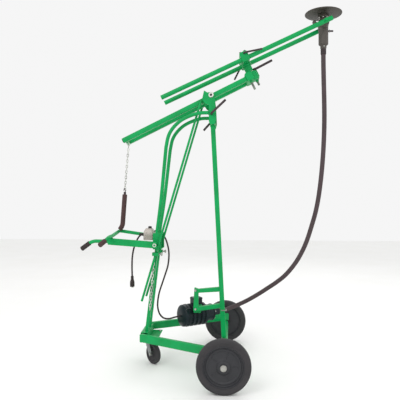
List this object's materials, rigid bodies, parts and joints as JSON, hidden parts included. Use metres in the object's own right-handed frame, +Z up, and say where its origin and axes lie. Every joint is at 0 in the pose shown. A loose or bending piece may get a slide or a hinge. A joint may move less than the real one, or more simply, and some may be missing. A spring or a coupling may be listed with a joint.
{
  "type": "boom_stand_with_flexible_shaft_head",
  "caption": "Wheeled boom stand with a counter-pull lever, a flexible shaft driven disc head and a motor on its base.",
  "frame": {"origin": "on the floor below the middle of the machine", "axes": "+Z up, +X towards the disc head, -Y the near side"},
  "size_m": [1.392, 0.896, 1.886],
  "materials": {
    "green_enamel": "semi-gloss",
    "black_enamel": "satin",
    "cast_grey": "cast",
    "motor_enamel": "satin",
    "zinc": "zinc plated",
    "tyre_rubber": "matte",
    "wheel_plastic": "satin",
    "grip_rubber": "matte",
    "cord_rubber": "matte",
    "head_metal": "cast, dulled"
  },
  "bodies": {
    "base": {"base_rail_near": "green_enamel", "base_rail_far": "green_enamel", "base_front_bar": "green_enamel", "caster_plate": "green_enamel", "axle": "green_enamel", "mast_near": "green_enamel", "mast_far": "green_enamel", "mast_head": "green_enamel", "bracket_near": "green_enamel", "bracket_far": "green_enamel", "arch_near": "green_enamel", "arch_far": "green_enamel", "bracket_tie": "green_enamel", "boom_pivot_bolt": "zinc", "leg_socket": "green_enamel", "rear_leg": "green_enamel", "rod_guide_near": "zinc", "rod_guide_far": "zinc", "lever_bolt": "zinc", "switch_box": "cast_grey", "motor_end_bell": "motor_enamel", "motor_housing": "motor_enamel", "gear_case": "motor_enamel", "motor_cradle": "green_enamel", "motor_saddle": "green_enamel", "flexible_shaft": "cord_rubber", "power_cord": "cord_rubber", "plug": "grip_rubber", "motor_cord": "cord_rubber"},
    "near_wheel": {"tyre_near": "tyre_rubber", "wheel_near": "wheel_plastic"},
    "far_wheel": {"tyre_far": "tyre_rubber", "wheel_far": "wheel_plastic"},
    "caster_swivel": {"caster_fork": "cast_grey", "caster_bolt": "zinc"},
    "caster_roller": {"caster_wheel": "tyre_rubber"},
    "crank_on_bracket": {"bracket_crank": "black_enamel"},
    "lower_boom": {"lower_rail_near": "green_enamel", "lower_rail_far": "green_enamel", "lower_block": "green_enamel", "tail_bar": "green_enamel"},
    "block_lever": {"swivel_lever": "black_enamel"},
    "stay": {"stay_rod": "green_enamel"},
    "swivel": {"upper_block": "green_enamel"},
    "crank_on_block": {"upper_crank": "black_enamel"},
    "upper_boom": {"upper_rail_near": "green_enamel", "upper_rail_far": "green_enamel", "head_bolt": "zinc"},
    "head": {"head_casting": "head_metal"},
    "disc_rotor": {"disc": "head_metal"},
    "hand_lever": {"lever_bar_near": "green_enamel", "lever_bar_far": "green_enamel", "lever_cross_tube": "green_enamel", "cross_grip": "grip_rubber", "front_handle": "green_enamel", "front_grip": "grip_rubber"},
    "pull_link": {"pull_chain": "zinc", "pull_bar": "grip_rubber"},
    "switch_turner": {"switch_knob": "black_enamel"}
  },
  "joints": [
    {"name": "near_wheel_roll", "type": "hinge", "parent": "base", "child": "near_wheel", "pos_m": [0.07, -0.42, 0.127], "axis": [0, 1, 0], "continuous": true},
    {"name": "far_wheel_roll", "type": "hinge", "parent": "base", "child": "far_wheel", "pos_m": [0.07, 0.42, 0.127], "axis": [0, 1, 0], "continuous": true},
    {"name": "caster_turn", "type": "hinge", "parent": "base", "child": "caster_swivel", "pos_m": [-0.342, 0, 0.119], "axis": [0, 0, 1], "continuous": true},
    {"name": "caster_roll", "type": "hinge", "parent": "caster_swivel", "child": "caster_roller", "pos_m": [-0.31513, -0.02687, 0.055], "axis": [0.7071, 0.7071, 0], "continuous": true},
    {"name": "boom_tilt", "type": "hinge", "parent": "base", "child": "lower_boom", "pos_m": [0, 0, 1.437], "axis": [0, -1, 0], "range_deg": [-6, 7], "deforming": ["flexible_shaft"]},
    {"name": "stay_hang", "type": "hinge", "parent": "lower_boom", "child": "stay", "pos_m": [-0.05393, 0, 1.4107], "axis": [0, -1, 0], "range_deg": [-8, 7]},
    {"name": "lever_lift", "type": "hinge", "parent": "base", "child": "hand_lever", "pos_m": [-0.297, 0, 0.648], "axis": [0, -1, 0], "range_deg": [-11, 13]},
    {"name": "link_hang", "type": "hinge", "parent": "lower_boom", "child": "pull_link", "pos_m": [-0.46198, 0, 1.21168], "axis": [0, -1, 0], "range_deg": [-12, 10.5]},
    {"name": "boom_swivel", "type": "hinge", "parent": "lower_boom", "child": "swivel", "pos_m": [0.20885, 0, 1.57224], "axis": [-0.4384, 0, 0.8988], "range_deg": [-40, 40]},
    {"name": "boom_extend", "type": "slide", "parent": "swivel", "child": "upper_boom", "axis": [0.9114, 0, 0.4115], "range_m": [-0.15, 0.1]},
    {"name": "head_tilt", "type": "hinge", "parent": "upper_boom", "child": "head", "pos_m": [0.5985, 0, 1.82106], "axis": [0, 1, 0], "range_deg": [-20, 8]},
    {"name": "disc_spin", "type": "hinge", "parent": "head", "child": "disc_rotor", "pos_m": [0.5985, 0, 1.886], "axis": [0, 0, 1], "continuous": true},
    {"name": "bracket_crank_turn", "type": "hinge", "parent": "base", "child": "crank_on_bracket", "pos_m": [0.002, 0, 1.338], "axis": [0, -1, 0], "range_deg": [-60, 60]},
    {"name": "block_crank_turn", "type": "hinge", "parent": "swivel", "child": "crank_on_block", "pos_m": [0.17126, 0, 1.65502], "axis": [0, -1, 0], "range_deg": [-20, 60]},
    {"name": "block_lever_turn", "type": "hinge", "parent": "lower_boom", "child": "block_lever", "pos_m": [0.23492, 0, 1.58495], "axis": [-0.4384, 0, 0.8988], "range_deg": [-25, 60]},
    {"name": "switch_turn", "type": "hinge", "parent": "base", "child": "switch_turner", "pos_m": [-0.3383, 0, 0.7313], "axis": [0, 0, 1], "range_deg": [0, 90]}
  ],
  "couplings": [
    {"joint": "stay_hang", "follows": "boom_tilt", "ratio": -1.05},
    {"joint": "lever_lift", "follows": "boom_tilt", "ratio": 1.76},
    {"joint": "link_hang", "follows": "boom_tilt", "ratio": -1.65}
  ]
}
